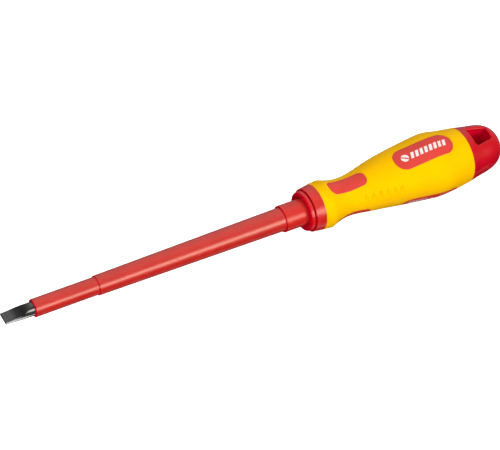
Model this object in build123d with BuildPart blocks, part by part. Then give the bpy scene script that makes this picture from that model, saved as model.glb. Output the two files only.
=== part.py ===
from build123d import *
import math
import os

# Insulated slotted screwdriver, 1.2 x 6.5 mm tip, 150 mm free blade, all sizes in mm.
# The shaft runs along +X, from the tip at x = 0 to the end cap.
# +Z is the direction that the broad faces of the blade, the hang hole and the first grip pads face.

# Blade
TIP_THICKNESS = 1.2
TIP_LAND = 2.2
GRIND_END = 13.6
ROD_RADIUS = 3.45
TIP_WIDTH = 6.5
TIP_CHAMFER = 0.2
TANG_END = 236.0
WING_START = 214.0
WING_LENGTH = 14.0
WING_WIDTH = 10.0
WING_THICKNESS = 3.0

# Insulation layers on the shaft, from the innermost outwards
INNER_SLEEVE_START = 15.4
INNER_SLEEVE_END = 192.0
INNER_SLEEVE_RADIUS = 4.48
INNER_SEAT_RADIUS = 4.3
OUTER_SLEEVE_START = 48.5
OUTER_SLEEVE_END = 184.0
OUTER_SLEEVE_TIP_RADIUS = 4.97
OUTER_SLEEVE_RADIUS = 6.0
COLLAR_START = 150.0
COLLAR_END = 176.0
COLLAR_RADIUS = 6.8
SLEEVE_EDGE = 0.3

# Handle stations along the shaft
NOSE_FACE = 161.8
BEAD_END = 163.8
BAND_START = 164.5
NOSE_END = 169.5
GRIP_END = 254.8
HANDLE_END = 278.0

# Handle radii at those stations
NOSE_BORE_RADIUS = 7.1
DISH_RADIUS = 9.4
DISH_DEPTH = 0.3
BEAD_MIDDLE = (162.45, 10.0)
BEAD_RADIUS = 10.2
NOSE_GROOVE_RADIUS = 9.4
BAND_START_RADIUS = 11.1
NOSE_END_RADIUS = 11.7
GRIP_END_RADIUS = 14.55

# Grip cross-sections: station, mean radius, height of the three lobes over the mean circle
GRIP_SECTIONS = [
    (NOSE_END, NOSE_END_RADIUS, 0.0),
    (172.2, 12.02, 0.0),
    (174.2, 12.27, 0.0),
    (175.2, 12.13, 0.0),
    (176.5, 11.65, 0.0),
    (179.0, 10.88, 0.0),
    (182.0, 10.2, 0.0),
    (186.0, 9.85, 0.0),
    (191.0, 10.22, 0.0),
    (197.5, 11.37, 0.15),
    (204.0, 12.5, 0.5),
    (212.0, 13.78, 0.62),
    (222.0, 15.07, 0.6),
    (230.0, 16.0, 0.56),
    (235.5, 16.55, 0.48),
    (239.0, 16.6, 0.42),
    (242.5, 16.2, 0.25),
    (246.5, 15.6, 0.04),
    (251.0, 15.03, 0.0),
    (GRIP_END, GRIP_END_RADIUS, 0.0),
]
SECTION_POINTS = 24
SECTION_SEAM = 30.0

# Three-fold layout: pads at 0, 120 and 240 degrees from +Z, lobes with anti-slip grooves between them
SIDES = 3
PAD_ANGLES = [i * 360 / SIDES for i in range(SIDES)]
LOBE_ANGLES = [angle + 180 / SIDES for angle in PAD_ANGLES]

# Red pads let into the grip
NECK_PAD_START = 175.5
NECK_PAD_END = 196.8
NECK_PAD_WIDTH = 8.2
NECK_PAD_CORNER = 3.2
LABEL_PAD_START = 213.4
LABEL_PAD_END = 246.5
LABEL_PAD_WIDTH = 12.9
LABEL_PAD_CORNER = 5.9
PAD_SEAM = 0.06
PAD_ROUNDING = 0.35

# Anti-slip grooves across each lobe, which leave a row of rounded ribs between them
GROOVE_FIRST = 193.3
GROOVE_PITCH = 3.67
GROOVE_COUNT = 6
GROOVE_DEPTH = 0.75
GROOVE_CUTTER_RADIUS = 1.05
GROOVE_CUTTER_LENGTH = 7.0

# Core inside the grip
CORE_START = 165.2
CORE_SPIGOT_RADIUS = 9.0
CORE_SHOULDER = 171.0
CORE_NECK = 186.0
CORE_NECK_RADIUS = 7.6
CORE_BELLY = 237.0
CORE_BELLY_RADIUS = 13.2
CORE_REAR_RADIUS = 11.2
CORE_BLEND = 20.0
CAP_SPIGOT_RADIUS = 8.0
CAP_SPIGOT_LENGTH = 2.6

# End cap
CAP_PROFILE_POINTS = [(262.0, 13.15), (269.0, 11.85), (274.1, 9.25), (276.9, 5.2)]
HOLE_START = 259.2
HOLE_END = 270.2
HOLE_FRONT_WIDTH = 11.4
HOLE_REAR_WIDTH = 6.9
HOLE_CORNER = 1.6
HOLE_RIM = 0.9

PAD_KINDS = {
    "neck_pad": (NECK_PAD_START, NECK_PAD_END, NECK_PAD_WIDTH, NECK_PAD_CORNER),
    "label_pad": (LABEL_PAD_START, LABEL_PAD_END, LABEL_PAD_WIDTH, LABEL_PAD_CORNER),
}

# Running gap between pieces that are moulded or pressed together
GAP = 0.02
REACH = 40.0

os.makedirs("parts", exist_ok=True)


def radial_plane(x, angle):
    """Plane at station x whose normal points away from the shaft, angle degrees from +Z towards +Y."""
    turn = math.radians(angle)
    return Plane(origin=(x, 0, 0), x_dir=(1, 0, 0), z_dir=(0, math.sin(turn), math.cos(turn)))


def lobed_section(radius, lobe):
    """Points of one closed grip section: lowest at the pads, highest at the lobes."""
    seam = math.radians(SECTION_SEAM)
    turns = [seam + 2 * math.pi * i / SECTION_POINTS for i in range(SECTION_POINTS)]
    radii = [radius - lobe * math.cos(SIDES * turn) for turn in turns]
    return [(r * math.sin(turn), r * math.cos(turn)) for r, turn in zip(radii, turns)]


def crest_radius(x):
    """Radius of the grip along the top of a lobe."""
    for (x0, radius0, lobe0), (x1, radius1, lobe1) in zip(GRIP_SECTIONS, GRIP_SECTIONS[1:]):
        if x0 <= x <= x1:
            front, rear = radius0 + lobe0, radius1 + lobe1
            return front + (rear - front) * (x - x0) / (x1 - x0)


def save(piece, label):
    piece.part.label = label
    export_step(piece.part, f"parts/{label}.step")


# Blade: round rod with a hollow-ground tip, tapered sides and two anti-rotation wings on the tang
with BuildPart() as blade:
    with BuildSketch(Plane.YZ):
        Circle(ROD_RADIUS)
    extrude(amount=TANG_END)
    chamfer(blade.edges().filter_by(GeomType.CIRCLE).sort_by(Axis.X)[-1], 0.8)
    with BuildSketch(Plane.XZ):
        with BuildLine():
            land_start = (-1, TIP_THICKNESS / 2)
            land_end = (TIP_LAND, TIP_THICKNESS / 2)
            runout = (GRIND_END, ROD_RADIUS + 0.1)
            Line(land_start, land_end)
            Spline(land_end, runout, tangents=[(1, 0.08), (1, 0.5)])
            Polyline(runout, (GRIND_END, ROD_RADIUS + 2), (-1, ROD_RADIUS + 2), land_start)
        make_face()
        mirror(about=Plane.XZ)
    extrude(amount=ROD_RADIUS + 1, both=True, mode=Mode.SUBTRACT)
    with BuildSketch(Plane.XY):
        Polygon(
            (-1, TIP_WIDTH / 2), (0, TIP_WIDTH / 2), (GRIND_END, ROD_RADIUS), (GRIND_END, ROD_RADIUS + 2),
            (-1, ROD_RADIUS + 2), align=None,
        )
        mirror(about=Plane.XZ)
    extrude(amount=ROD_RADIUS + 1, both=True, mode=Mode.SUBTRACT)
    tip_edges = blade.faces().sort_by(Axis.X)[0].edges().filter_by(GeomType.LINE)
    chamfer(tip_edges, TIP_CHAMFER)
    with BuildSketch(Plane.YZ.offset(WING_START)):
        Rectangle(WING_WIDTH, WING_THICKNESS)
    extrude(amount=WING_LENGTH)
save(blade, "blade")

# Inner sleeve: thin insulation over the whole shaft, full size up to the second layer that sits on its rear
with BuildPart() as inner_sleeve:
    with BuildSketch(Plane.XY):
        with BuildLine():
            Polyline(
                (INNER_SLEEVE_START, ROD_RADIUS + GAP),
                (INNER_SLEEVE_START, INNER_SLEEVE_RADIUS),
                (OUTER_SLEEVE_START - GAP, INNER_SLEEVE_RADIUS),
                (OUTER_SLEEVE_START - GAP, INNER_SEAT_RADIUS),
                (INNER_SLEEVE_END, INNER_SEAT_RADIUS),
                (INNER_SLEEVE_END, ROD_RADIUS + GAP),
                close=True,
            )
        make_face()
    revolve(axis=Axis.X)
    front_edges = inner_sleeve.faces().sort_by(Axis.X)[0].edges()
    fillet(front_edges.sort_by(SortBy.LENGTH)[-1], SLEEVE_EDGE)
save(inner_sleeve, "inner_sleeve")

# Outer sleeve: second layer, widening towards the handle and straight inside the collar
with BuildPart() as outer_sleeve:
    with BuildSketch(Plane.XY):
        with BuildLine():
            Polyline(
                (OUTER_SLEEVE_START, INNER_SEAT_RADIUS + GAP),
                (OUTER_SLEEVE_START, OUTER_SLEEVE_TIP_RADIUS),
                (COLLAR_START, OUTER_SLEEVE_RADIUS),
                (OUTER_SLEEVE_END, OUTER_SLEEVE_RADIUS),
                (OUTER_SLEEVE_END, INNER_SEAT_RADIUS + GAP),
                close=True,
            )
        make_face()
    revolve(axis=Axis.X)
    front_edges = outer_sleeve.faces().sort_by(Axis.X)[0].edges()
    fillet(front_edges.sort_by(SortBy.LENGTH)[-1], SLEEVE_EDGE * 0.6)
save(outer_sleeve, "outer_sleeve")

# Collar sleeve: third layer, running into the nose of the handle
with BuildPart() as collar_sleeve:
    with BuildSketch(Plane.YZ.offset(COLLAR_START)):
        Circle(COLLAR_RADIUS)
        Circle(OUTER_SLEEVE_RADIUS + GAP, mode=Mode.SUBTRACT)
    extrude(amount=COLLAR_END - COLLAR_START)
    front_edges = collar_sleeve.faces().sort_by(Axis.X)[0].edges()
    fillet(front_edges.sort_by(SortBy.LENGTH)[-1], SLEEVE_EDGE)
save(collar_sleeve, "collar_sleeve")

# Nose ring: hard ring with a dished front face, a rounded bead, a groove and a slightly tapered band
with BuildPart() as nose_ring:
    with BuildSketch(Plane.XY):
        with BuildLine():
            face_rim = (NOSE_FACE, DISH_RADIUS)
            bead_rear = (BEAD_END, BEAD_RADIUS)
            Spline(face_rim, BEAD_MIDDLE, bead_rear, tangents=[(0, 1), (1, 0)])
            Polyline(
                bead_rear,
                (BEAD_END + 0.15, NOSE_GROOVE_RADIUS),
                (BAND_START - 0.15, NOSE_GROOVE_RADIUS),
                (BAND_START, BAND_START_RADIUS),
                (NOSE_END, NOSE_END_RADIUS),
                (NOSE_END, CORE_SPIGOT_RADIUS + GAP),
                (CORE_START, CORE_SPIGOT_RADIUS + GAP),
                (CORE_START, NOSE_BORE_RADIUS),
                (NOSE_FACE + DISH_DEPTH, NOSE_BORE_RADIUS),
                face_rim,
            )
        make_face()
    revolve(axis=Axis.X)
save(nose_ring, "nose_ring")

# Whole outer body of the grip, without windows: the flange at the front, the neck, then the lobed belly
with BuildPart() as grip_body:
    for station, radius, lobe in GRIP_SECTIONS:
        with BuildSketch(Plane.YZ.offset(station)):
            with BuildLine():
                Spline(*lobed_section(radius, lobe), periodic=True)
            make_face()
    loft()

# Core body: hard plastic moulded round the shaft, hidden under the grip and the pads
with BuildPart() as handle_core:
    with BuildSketch(Plane.XY):
        with BuildLine():
            Polyline(
                (CORE_START, 0),
                (CORE_START, CORE_SPIGOT_RADIUS),
                (CORE_SHOULDER, CORE_SPIGOT_RADIUS),
                (CORE_NECK, CORE_NECK_RADIUS),
                (CORE_BELLY, CORE_BELLY_RADIUS),
                (GRIP_END, CORE_REAR_RADIUS),
                (GRIP_END, CAP_SPIGOT_RADIUS),
                (GRIP_END + CAP_SPIGOT_LENGTH, CAP_SPIGOT_RADIUS),
                (GRIP_END + CAP_SPIGOT_LENGTH, 0),
                close=True,
            )
        make_face()
        fillet(vertices().filter_by_position(Axis.X, CORE_NECK - 1, CORE_BELLY + 1), CORE_BLEND)
    revolve(axis=Axis.X)
    core_solid = handle_core.part
    for end, radius in (
        (COLLAR_END, COLLAR_RADIUS),
        (OUTER_SLEEVE_END, OUTER_SLEEVE_RADIUS),
        (INNER_SLEEVE_END, INNER_SEAT_RADIUS),
        (TANG_END, ROD_RADIUS),
    ):
        with BuildSketch(Plane.YZ):
            Circle(radius + GAP)
        extrude(amount=end + GAP, mode=Mode.SUBTRACT)
    with BuildSketch(Plane.YZ.offset(WING_START - GAP)):
        Rectangle(WING_WIDTH + 2 * GAP, WING_THICKNESS + 2 * GAP)
    extrude(amount=WING_LENGTH + 2 * GAP, mode=Mode.SUBTRACT)
save(handle_core, "handle_core")

# Grip cover: soft yellow layer over the core, with anti-slip grooves and a window for each pad
with BuildPart() as grip_cover:
    add(grip_body.part)
    for angle in LOBE_ANGLES:
        for station in [GROOVE_FIRST + i * GROOVE_PITCH for i in range(GROOVE_COUNT)]:
            cutter_height = crest_radius(station) - GROOVE_DEPTH + GROOVE_CUTTER_RADIUS
            cutter_plane = radial_plane(station, angle).offset(cutter_height)
            with BuildSketch(cutter_plane):
                with BuildLine():
                    left, right = (0, -GROOVE_CUTTER_LENGTH / 2), (0, GROOVE_CUTTER_LENGTH / 2)
                    ThreePointArc(left, (GROOVE_CUTTER_RADIUS, 0), right)
                    Line(right, left)
                make_face()
            revolve(axis=Axis(cutter_plane.origin, cutter_plane.y_dir), mode=Mode.SUBTRACT)
    add(core_solid, mode=Mode.SUBTRACT)
    for start, end, width, corner in PAD_KINDS.values():
        for angle in PAD_ANGLES:
            with BuildSketch(radial_plane((start + end) / 2, angle)):
                RectangleRounded(end - start, width, corner)
            extrude(amount=REACH, mode=Mode.SUBTRACT)
save(grip_cover, "grip_cover")

# Pads: red inserts that fill the windows, flush with the grip, with a rounded outer edge
for kind, (start, end, width, corner) in PAD_KINDS.items():
    for number, angle in enumerate(PAD_ANGLES, start=1):
        with BuildPart() as pad:
            with BuildSketch(radial_plane((start + end) / 2, angle)):
                RectangleRounded(end - start - 2 * PAD_SEAM, width - 2 * PAD_SEAM, corner - PAD_SEAM)
            extrude(amount=REACH)
            add(grip_body.part, mode=Mode.INTERSECT)
            add(core_solid, mode=Mode.SUBTRACT)
            outer_face = pad.faces().sort_by(SortBy.AREA)[-1]
            fillet(outer_face.edges(), PAD_ROUNDING)
        save(pad, f"{kind}_{number}")

# End cap: solid dome on the rear spigot, with a through hang hole that narrows towards the rear
with BuildPart() as end_cap:
    with BuildSketch(Plane.XY):
        with BuildLine():
            rim = (GRIP_END, GRIP_END_RADIUS)
            pole = (HANDLE_END, 0)
            Spline(rim, *CAP_PROFILE_POINTS, pole, tangents=[(1, -0.19), (0, -1)])
            Polyline(pole, (GRIP_END, 0), rim)
        make_face()
    revolve(axis=Axis.X)
    with BuildSketch(Plane.YZ.offset(GRIP_END)):
        Circle(CAP_SPIGOT_RADIUS + GAP)
    extrude(amount=CAP_SPIGOT_LENGTH + GAP, mode=Mode.SUBTRACT)
    with BuildSketch(Plane.XY):
        with BuildLine():
            Polyline(
                (HOLE_START, -HOLE_FRONT_WIDTH / 2),
                (HOLE_START, HOLE_FRONT_WIDTH / 2),
                (HOLE_END, HOLE_REAR_WIDTH / 2),
                (HOLE_END, -HOLE_REAR_WIDTH / 2),
                close=True,
            )
        make_face()
        fillet(vertices(), HOLE_CORNER)
    extrude(amount=REACH, both=True, mode=Mode.SUBTRACT)
    hole_rims = end_cap.edges(Select.LAST).filter_by(Axis.Z, reverse=True)
    fillet(hole_rims, HOLE_RIM)
save(end_cap, "end_cap")
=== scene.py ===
import bmesh
import bpy
import math
from mathutils import Matrix, Vector


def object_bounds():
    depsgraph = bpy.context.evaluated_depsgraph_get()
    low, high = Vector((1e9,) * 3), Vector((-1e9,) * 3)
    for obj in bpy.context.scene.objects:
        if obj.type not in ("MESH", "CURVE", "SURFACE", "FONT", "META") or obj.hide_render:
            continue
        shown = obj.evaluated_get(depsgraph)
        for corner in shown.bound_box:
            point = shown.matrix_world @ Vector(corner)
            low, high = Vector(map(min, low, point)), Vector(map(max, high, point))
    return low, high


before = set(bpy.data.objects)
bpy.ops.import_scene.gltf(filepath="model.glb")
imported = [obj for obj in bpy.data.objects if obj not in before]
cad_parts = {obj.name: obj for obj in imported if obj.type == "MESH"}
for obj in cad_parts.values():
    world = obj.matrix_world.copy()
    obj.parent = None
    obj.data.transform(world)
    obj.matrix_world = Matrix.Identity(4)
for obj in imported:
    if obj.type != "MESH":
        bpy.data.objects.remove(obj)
cad_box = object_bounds()

MM = 0.001

# Camera: a long lens looking down on the tool from the tip's side, rolled so that the tip is lower left.
# The look station is the place on the shaft, measured from the tip, that the camera is turned to.
LOOK_STATION = 133.64 * MM
CAMERA_DISTANCE = 1168.6 * MM
CAMERA_RISE = 2.45 * MM
TIP_LEAN = math.radians(23.7)
PAD_TURN = math.radians(33.0)
CAMERA_ROLL = math.radians(19.71)
SENSOR_WIDTH = 36.0
LENS = 173.5

# Surroundings: how bright they are, from dark under the tool to a glow above and behind it.
# A turn is in degrees above the side of the tool that faces the camera, and along leans towards the cap.
AMBIENT = 0.26
AMBIENT_BELOW = 0.02
AMBIENT_RANGE = (-0.2, 0.6)
BACK_GLOW = 0.62
BACK_RANGE = (0.45, 1.0)
BACK_TURN = 75.0
BACK_ALONG = 25.0

# Lights stand this far from the middle of the tool and are aimed at it
LIGHT_TARGET = 140 * MM
LIGHT_DISTANCE = 1.1

# White floor and backdrop
FLOOR_GLOW = 0.9
FLOOR_WHITE = 0.85
FLOOR_REACH = 6.0
DOME_RADIUS = 9.0
STAGE_ROUGHNESS = 0.9

# Faces and recesses that get painted shade, and the hang hole that gets painted light, as stations from the
# tip; FRONT_DEPTH is how far a sleeve's cut end reaches behind its front, so that its rounded edge gets the
# painted shade with it
FRONT_DEPTH = 0.25 * MM
NOSE_FACE_END = 162.5 * MM
NOSE_GROOVE = 164.15 * MM
NOSE_GROOVE_HALF = 0.33 * MM
HOLE_STATION = 264.5 * MM
HOLE_HALF_SIZE = (6.5 * MM, 6.2 * MM, 9.5 * MM)

# Plastics: each has a deep and a pale shade that cloud into each other
SLEEVE_REDS = (0.53, 0.014, 0.010), (0.58, 0.019, 0.013)
CORE_REDS = (0.60, 0.016, 0.012), (0.65, 0.021, 0.015)
PAD_REDS = (0.66, 0.030, 0.018), (0.73, 0.038, 0.022)
CAP_REDS = (0.54, 0.0, 0.012), (0.58, 0.001, 0.016)
GRIP_YELLOWS = (0.95, 0.50, 0.0), (0.99, 0.545, 0.0)
# Painted shade: a deeper, duller red put on faces towards the tip and on floors of recesses
PAINTED_SHADE_RED = (0.60, 0.0, 0.016)
# Painted light: a brighter red put on the walls of the cap's hang hole
PAINTED_LIGHT_HOLE_RED = (0.80, 0.0, 0.04)
WARM_TINT = (1.0, 0.95, 0.82)
CAP_TINT = (1.0, 0.8, 0.5)
GRIP_TINT = (1.0, 0.72, 0.04)
PLASTIC_IOR = 1.5

# How far light scatters under the surface of a plastic, and its share in red, green and blue
SUBSURFACE_SCALE = 1.5 * MM
SUBSURFACE_RADIUS = (1.0, 0.15, 0.1)

# Soft clouds between the two shades of a plastic, and the shine left where shade is painted into faces and
# recesses
CLOUD_SIZE = 8 * MM
CLOUD_HEIGHT = 0.04 * MM
PAINTED_SHADE_SPECULAR = 0.1

# Print on the label pads
PRINT_WHITE = (0.86, 0.84, 0.82)
PRINT_WEAR_SIZE = 0.5 * MM
PRINT_WEAR = 0.36
SLOT_TURN = math.radians(35)

# Blade: greys along the bare steel, as (share of the bare length, grey): painted reflection and shade in
# bands on the dark steel, with a thin line of painted shade at the end of the tip's land; and its ground
# edges, lightened as painted reflection
BARE_LENGTH = 16 * MM
BARE_PAINTED_LIGHT_GREYS = [
    (0.0, 0.12), (0.125, 0.12), (0.135, 0.03), (0.15, 0.12), (0.25, 0.11), (0.41, 0.045), (0.6, 0.03),
    (0.7, 0.05), (0.8, 0.12), (1.0, 0.13),
]
STEEL_BLUE = 1.02
EDGE_PAINTED_REFLECTION_GREY = (0.8, 0.8, 0.8)
EDGE_FROM = 2.95 * MM
EDGE_TO = 3.2 * MM


def direction_from_shaft(turn):
    """Unit vector away from the shaft, turn radians above the direction that faces the camera."""
    facing = Vector((0, -math.sin(PAD_TURN), math.cos(PAD_TURN)))
    upwards = Vector((0, math.cos(PAD_TURN), math.sin(PAD_TURN)))
    return facing * math.cos(turn) + upwards * math.sin(turn)


def make_camera():
    along, facing, upwards = Vector((1, 0, 0)), direction_from_shaft(0), direction_from_shaft(math.pi / 2)
    back = facing * math.cos(TIP_LEAN) - along * math.sin(TIP_LEAN)
    level = along * math.cos(TIP_LEAN) + facing * math.sin(TIP_LEAN)
    right = level * math.cos(CAMERA_ROLL) - upwards * math.sin(CAMERA_ROLL)
    up = level * math.sin(CAMERA_ROLL) + upwards * math.cos(CAMERA_ROLL)
    data = bpy.data.cameras.new("camera")
    data.lens = LENS
    data.sensor_width = SENSOR_WIDTH
    data.clip_start = 0.05
    data.clip_end = 20.0
    camera = bpy.data.objects.new("camera", data)
    place = along * LOOK_STATION + back * CAMERA_DISTANCE + upwards * CAMERA_RISE
    turn = Matrix((right, up, back)).transposed().to_4x4()
    camera.matrix_world = Matrix.Translation(place) @ turn
    bpy.context.scene.collection.objects.link(camera)
    bpy.context.scene.camera = camera


class Shader:
    """A node material built from short calls: one Principled shader and the nodes that feed it."""

    def __init__(self, name, **values):
        self.material = bpy.data.materials.new(name)
        self.material.use_nodes = True
        self.tree = self.material.node_tree
        self.surface = self.tree.nodes["Principled BSDF"]
        for socket, value in values.items():
            self.surface.inputs[socket.replace("_", " ")].default_value = value
        self.place = self.node("ShaderNodeTexCoord").outputs["Object"]

    def node(self, kind, **settings):
        made = self.tree.nodes.new(kind)
        for key, value in settings.items():
            setattr(made, key, value)
        return made

    def link(self, source, target):
        self.tree.links.new(source, target)

    def stretched(self, scale):
        mapping = self.node("ShaderNodeMapping")
        mapping.inputs["Scale"].default_value = scale
        self.link(self.place, mapping.inputs["Vector"])
        return mapping.outputs["Vector"]

    def noise(self, size, detail=3.0, roughness=0.5, stretch=(1, 1, 1)):
        made = self.node("ShaderNodeTexNoise")
        made.inputs["Scale"].default_value = 1 / size
        made.inputs["Detail"].default_value = detail
        made.inputs["Roughness"].default_value = roughness
        self.link(self.stretched(stretch), made.inputs["Vector"])
        return made.outputs["Fac"]

    def spread(self, factor, low, high, source_low=0.0, source_high=1.0):
        made = self.node("ShaderNodeMapRange")
        for socket, value in zip((1, 2, 3, 4), (source_low, source_high, low, high)):
            made.inputs[socket].default_value = value
        self.link(factor, made.inputs[0])
        return made.outputs[0]

    def colours(self, factor, low, high, source_low=0.3, source_high=0.7):
        made = self.node("ShaderNodeValToRGB")
        made.color_ramp.elements[0].position = source_low
        made.color_ramp.elements[0].color = (*low, 1)
        made.color_ramp.elements[1].position = source_high
        made.color_ramp.elements[1].color = (*high, 1)
        self.link(factor, made.inputs[0])
        return made.outputs[0]

    def bump(self, height, distance, strength=1.0, under=None):
        made = self.node("ShaderNodeBump")
        made.inputs["Distance"].default_value = distance
        made.inputs["Strength"].default_value = strength
        self.link(height, made.inputs["Height"])
        if under is not None:
            self.link(under, made.inputs["Normal"])
        return made.outputs["Normal"]

    def feed(self, socket, source):
        self.link(source, self.surface.inputs[socket])

    def math(self, operation, first, second=0.0):
        """A math node on numbers or sockets."""
        made = self.node("ShaderNodeMath", operation=operation)
        for socket, value in zip(made.inputs, (first, second)):
            if isinstance(value, (int, float)):
                socket.default_value = value
            else:
                self.link(value, socket)
        return made.outputs[0]

    def axes(self, turn=0.0):
        """Object X, Y and Z, after a turn about the shaft that brings a pad at that angle to +Z."""
        turned = self.node("ShaderNodeVectorRotate", rotation_type="X_AXIS")
        turned.inputs["Angle"].default_value = turn
        split = self.node("ShaderNodeSeparateXYZ")
        self.link(self.place, turned.inputs["Vector"])
        self.link(turned.outputs[0], split.inputs[0])
        return split.outputs

    def mix(self, factor, first, second):
        """Colour first where factor is 0 and the plain colour second where it is 1."""
        made = self.node("ShaderNodeMix", data_type="RGBA")
        self.link(factor, made.inputs["Factor"])
        self.link(first, made.inputs["A"])
        made.inputs["B"].default_value = (*second, 1)
        return made.outputs["Result"]

    def within(self, value, middle, half):
        """1 where value is less than half away from middle."""
        away = self.math("ABSOLUTE", self.math("SUBTRACT", value, middle))
        return self.math("LESS_THAN", away, half)

    def bars(self, x, y, start, count, pitch, duty, middle, height, slant=0.0):
        """A row of equal bars along x, as a mask; duty is the filled share of the pitch."""
        along = self.math("SUBTRACT", x, start)
        along = self.math("SUBTRACT", along, self.math("MULTIPLY", y, slant))
        along = self.math("DIVIDE", along, pitch)
        bar = self.math("LESS_THAN", self.math("FRACT", along), duty)
        row = self.within(along, count / 2, count / 2)
        return self.math("MULTIPLY", self.math("MULTIPLY", bar, row), self.within(y, middle, height / 2))

    def screw_head(self, x, y, middle, radius, slot, turn):
        """A disc with a slot across it, as a mask."""
        x = self.math("SUBTRACT", x, middle)
        squares = self.math("ADD", self.math("POWER", x, 2), self.math("POWER", y, 2))
        disc = self.math("LESS_THAN", self.math("POWER", squares, 0.5), radius)
        from_x = self.math("MULTIPLY", x, math.sin(turn))
        from_y = self.math("MULTIPLY", y, math.cos(turn))
        across = self.math("ADD", from_x, from_y)
        return self.math("MULTIPLY", disc, self.math("SUBTRACT", 1.0, self.within(across, 0.0, slot / 2)))


def moulded(
    name, shades, grain_size, grain_height, roughness, cloud_size=CLOUD_SIZE, specular=0.5, tint=None,
    subsurface=0.0,
):
    """Plain moulded plastic: two close shades in soft clouds, and a fine grain in roughness and height."""
    s = Shader(name, IOR=PLASTIC_IOR, Subsurface_Weight=subsurface, Subsurface_Scale=SUBSURFACE_SCALE)
    s.surface.inputs["Subsurface Radius"].default_value = SUBSURFACE_RADIUS
    s.surface.inputs["Specular IOR Level"].default_value = specular
    if tint:
        s.surface.inputs["Specular Tint"].default_value = (*tint, 1)
    grain = s.noise(grain_size, detail=4)
    cloud = s.noise(cloud_size)
    s.colour = s.colours(cloud, *shades)
    s.feed("Base Color", s.colour)
    s.feed("Roughness", s.spread(grain, *roughness))
    s.feed("Normal", s.bump(grain, grain_height, under=s.bump(cloud, CLOUD_HEIGHT)))
    return s


def with_painted_shade(s, mask, specular):
    """Painted shade where the mask is 1: a deeper, duller red with less shine, on faces that look towards
    the tip and on floors of recesses.
    """
    s.feed("Base Color", s.mix(mask, s.colour, PAINTED_SHADE_RED))
    s.feed("Specular IOR Level", s.spread(mask, specular, PAINTED_SHADE_SPECULAR))
    return s.material


def front_of(name):
    """Station of the front end of that CAD node."""
    return min(corner[0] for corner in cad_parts[name].bound_box)


def sleeve_material(name, front, strength=1.0, specular=0.8):
    """Sleeve insulation whose cut front end is at that station."""
    shades = [tuple(strength * channel for channel in shade) for shade in SLEEVE_REDS]
    s = moulded(name, shades, 0.35 * MM, 0.012 * MM, (0.27, 0.36), subsurface=0.3, tint=WARM_TINT)
    # Painted shade: the cut front end, which faces the tip, and its rounded edge get the deeper red
    return with_painted_shade(s, s.math("LESS_THAN", s.axes()[0], front + FRONT_DEPTH), specular)


def core_material(name):
    """Shader of the hard plastic of the handle's core, which the nose is made of too."""
    return moulded(name, CORE_REDS, 0.5 * MM, 0.006 * MM, (0.25, 0.34), subsurface=0.5, tint=WARM_TINT)


def nose_material():
    """Core plastic, with painted shade on the front face and in the groove behind the bead."""
    s = core_material("nose_red")
    x = s.axes()[0]
    face = s.math("LESS_THAN", x, NOSE_FACE_END)
    groove = s.within(x, NOSE_GROOVE, NOSE_GROOVE_HALF)
    return with_painted_shade(s, s.math("MAXIMUM", face, groove), specular=0.62)


def grip_material():
    """Soft yellow grip, almost without shine."""
    s = moulded(
        "grip_yellow", GRIP_YELLOWS, 0.45 * MM, 0.012 * MM, (0.42, 0.54), cloud_size=14 * MM, specular=0.06,
        tint=GRIP_TINT,
    )
    return s.material


def pad_material(name, specular=0.5):
    """Shader of a pad, which can still be printed."""
    return moulded(name, PAD_REDS, 0.3 * MM, 0.02 * MM, (0.38, 0.5), specular=specular)


def printed(s, mask):
    """White print over a pad, slightly worn."""
    wear = s.math("GREATER_THAN", s.noise(PRINT_WEAR_SIZE), PRINT_WEAR)
    s.feed("Base Color", s.mix(s.math("MULTIPLY", mask, wear), s.colour, PRINT_WHITE))
    return s.material


def pad_axes(s, number):
    """Place along and across the pad of that number, counted round the handle."""
    x, y, _ = s.axes(math.radians(120 * (number - 1)))
    return x, y


def big_print(number):
    """A slotted screw head and a row of slanted bars."""
    s = pad_material(f"label_red_{number}")
    x, y = pad_axes(s, number)
    head = s.screw_head(x, y, middle=219.4 * MM, radius=2.1 * MM, slot=0.75 * MM, turn=SLOT_TURN)
    row = s.bars(
        x, y, start=222.9 * MM, count=8, pitch=2.62 * MM, duty=0.62, middle=0.0, height=3.5 * MM,
        slant=0.35,
    )
    return printed(s, s.math("MAXIMUM", head, row))


def small_print(number):
    """Rows of short dashes with a slotted screw head in the middle."""
    s = pad_material(f"label_red_{number}", specular=0.15)
    x, y = pad_axes(s, number)
    mask = s.screw_head(x, y, middle=231.0 * MM, radius=1.9 * MM, slot=0.6 * MM, turn=SLOT_TURN)
    blocks = ((217.5 * MM, 6), (235.0 * MM, 5))
    lines = ((3.3 * MM, 1.8 * MM, 0.7), (1.2 * MM, 1.5 * MM, 0.75), (-1.2 * MM, 2.0 * MM, 0.8))
    for start, count in blocks:
        for middle, pitch, duty in lines:
            dashes = s.bars(x, y, start, count, pitch, duty, middle, height=1.2 * MM)
            mask = s.math("MAXIMUM", mask, dashes)
    return printed(s, mask)


def cap_material():
    """Glossy cap, with painted light on the walls of the hang hole: a brighter red there."""
    s = moulded(
        "cap_red", CAP_REDS, 0.8 * MM, 0.002 * MM, (0.26, 0.32), specular=0.4, tint=CAP_TINT,
        subsurface=0.5,
    )
    x, y, z = s.axes()
    half_x, half_y, half_z = HOLE_HALF_SIZE
    # Painted light: inside this box round the hang hole the walls get a brighter red
    hole = s.math("MULTIPLY", s.within(x, HOLE_STATION, half_x), s.within(y, 0.0, half_y))
    hole = s.math("MULTIPLY", hole, s.within(z, 0.0, half_z))
    s.feed("Base Color", s.mix(hole, s.colour, PAINTED_LIGHT_HOLE_RED))
    return s.material


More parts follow.
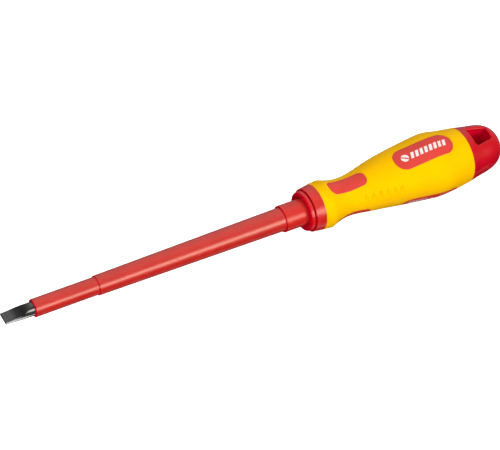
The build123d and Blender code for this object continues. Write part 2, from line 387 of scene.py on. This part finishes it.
def steel_material():
    """Dark steel, brushed across the blade, with painted reflection and shade in bands along the bare end,
    and ground edges made bright as painted reflection.
    """
    s = Shader("blade_steel", Metallic=1.0)
    brushed = s.noise(0.12 * MM, detail=4, stretch=(1, 0.04, 1))
    x, y, _ = s.axes()
    bare = s.node("ShaderNodeValToRGB")
    stops = bare.color_ramp.elements
    while len(stops) < len(BARE_PAINTED_LIGHT_GREYS):
        stops.new(0.5)
    for stop, (share, grey) in zip(stops, BARE_PAINTED_LIGHT_GREYS):
        stop.position = share
        stop.color = (grey, grey, grey * STEEL_BLUE, 1)
    # Painted reflection and shade: bands of grey along the bare end of the blade
    s.link(s.spread(x, 0, 1, 0, BARE_LENGTH), bare.inputs[0])
    # Painted reflection: the blade's side edges get a light grey
    edge = s.spread(s.math("ABSOLUTE", y), 0, 1, EDGE_FROM, EDGE_TO)
    s.feed("Base Color", s.mix(edge, bare.outputs[0], EDGE_PAINTED_REFLECTION_GREY))
    s.feed("Roughness", s.spread(brushed, 0.16, 0.34))
    s.feed("Normal", s.bump(brushed, 0.004 * MM))
    return s.material


def dress_nodes():
    """Gives every CAD node the material of its piece."""
    by_start = {
        "blade": steel_material(),
        "inner_sleeve": sleeve_material("inner_sleeve_red", front_of("inner_sleeve")),
        "outer_sleeve": sleeve_material("outer_sleeve_red", front_of("outer_sleeve")),
        "collar_sleeve": sleeve_material(
            "collar_red", front_of("collar_sleeve"), strength=1.1, specular=0.55,
        ),
        "nose_ring": nose_material(),
        "handle_core": core_material("core_red").material,
        "grip_cover": grip_material(),
        "neck_pad": pad_material("pad_red").material,
        "label_pad_1": big_print(1),
        "label_pad_2": small_print(2),
        "label_pad_3": small_print(3),
        "end_cap": cap_material(),
    }
    for name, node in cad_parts.items():
        material = next(m for start, m in by_start.items() if name.startswith(start))
        node.data.materials.clear()
        node.data.materials.append(material)


def direction_towards(turn, along):
    """Unit vector at that turn, leaning from the shaft's normal towards the cap, both in degrees."""
    lean = math.radians(along)
    return direction_from_shaft(math.radians(turn)) * math.cos(lean) + Vector((math.sin(lean), 0, 0))


def area_light(name, turn, along, width, length, radiance, colour=(1, 1, 1), glossy=True):
    """A soft light aimed at the middle of the tool, width across the shaft and length along it."""
    towards = direction_towards(turn, along)
    side = towards.cross(Vector((1, 0, 0))).normalized()
    data = bpy.data.lights.new(name, "AREA")
    data.shape = "RECTANGLE"
    data.size = width
    data.size_y = length
    data.energy = math.pi * width * length * radiance
    data.color = colour
    light = bpy.data.objects.new(name, data)
    turned = Matrix((side, towards.cross(side), towards)).transposed().to_4x4()
    place = Vector((LIGHT_TARGET, 0, 0)) + towards * LIGHT_DISTANCE
    light.matrix_world = Matrix.Translation(place) @ turned
    light.visible_glossy = glossy
    bpy.context.scene.collection.objects.link(light)


def stage_piece(name, mesh, glow, base):
    """Floor or backdrop, kept out of what lights the tool, so it doesn't tint it."""
    piece = bpy.data.objects.new(name, mesh)
    bpy.context.scene.collection.objects.link(piece)
    s = Shader(name, Base_Color=(base, base, base, 1), Roughness=STAGE_ROUGHNESS)
    s.surface.inputs["Emission Color"].default_value = (1, 1, 1, 1)
    s.surface.inputs["Emission Strength"].default_value = glow
    mesh.materials.append(s.material)
    piece.visible_diffuse = False
    piece.visible_glossy = False
    return piece


def make_stage():
    """Floor under the tool and a white dome round everything."""
    low, reach = cad_box[0].z, FLOOR_REACH
    floor_mesh = bpy.data.meshes.new("floor")
    corners = [(-reach, -reach, low), (reach, -reach, low), (reach, reach, low), (-reach, reach, low)]
    floor_mesh.from_pydata(corners, [], [(0, 1, 2, 3)])
    stage_piece("floor", floor_mesh, FLOOR_GLOW, FLOOR_WHITE)
    dome_mesh = bpy.data.meshes.new("backdrop")
    dome = bmesh.new()
    bmesh.ops.create_uvsphere(dome, u_segments=48, v_segments=24, radius=DOME_RADIUS)
    dome.to_mesh(dome_mesh)
    dome.free()
    backdrop = stage_piece("backdrop", dome_mesh, 1.0, 0.0)
    backdrop.visible_shadow = False
    backdrop.visible_transmission = False


def make_world():
    """Light from all round: an even part that fades out below, and a glow from above and behind."""
    world = bpy.data.worlds.new("studio")
    world.use_nodes = True
    nodes, links = world.node_tree.nodes, world.node_tree.links
    direction = nodes.new("ShaderNodeTexCoord")
    facing = nodes.new("ShaderNodeVectorMath")
    facing.operation = "DOT_PRODUCT"
    facing.inputs[1].default_value = direction_towards(BACK_TURN, BACK_ALONG)
    links.new(direction.outputs["Generated"], facing.inputs[0])
    total = nodes.new("ShaderNodeMath")
    parts = ((*AMBIENT_RANGE, AMBIENT_BELOW, AMBIENT), (*BACK_RANGE, 0.0, BACK_GLOW))
    for socket, values in zip(total.inputs, parts):
        light = nodes.new("ShaderNodeMapRange")
        light.interpolation_type = "SMOOTHSTEP"
        for number, value in enumerate(values, start=1):
            light.inputs[number].default_value = value
        links.new(facing.outputs["Value"], light.inputs[0])
        links.new(light.outputs[0], socket)
    links.new(total.outputs[0], nodes["Background"].inputs["Strength"])
    nodes["Background"].inputs["Color"].default_value = (1, 1, 1, 1)
    bpy.context.scene.world = world
    bpy.context.scene.view_settings.view_transform = "Standard"


def make_lights():
    area_light("key", turn=-30, along=20, width=0.5, length=1.0, radiance=6.1, colour=(1, 0.975, 0.9))
    area_light("low rim", turn=-114, along=24, width=0.25, length=0.8, radiance=1.1)
    area_light("front fill", turn=15, along=-5, width=1.0, length=1.0, radiance=1.55, glossy=False)
    area_light("tip fill", turn=10, along=-65, width=1.0, length=1.0, radiance=1.4, glossy=False)
    area_light("low fill", turn=-85, along=-60, width=0.8, length=0.8, radiance=11.5, glossy=False)


make_camera()
make_stage()
make_world()
make_lights()
dress_nodes()
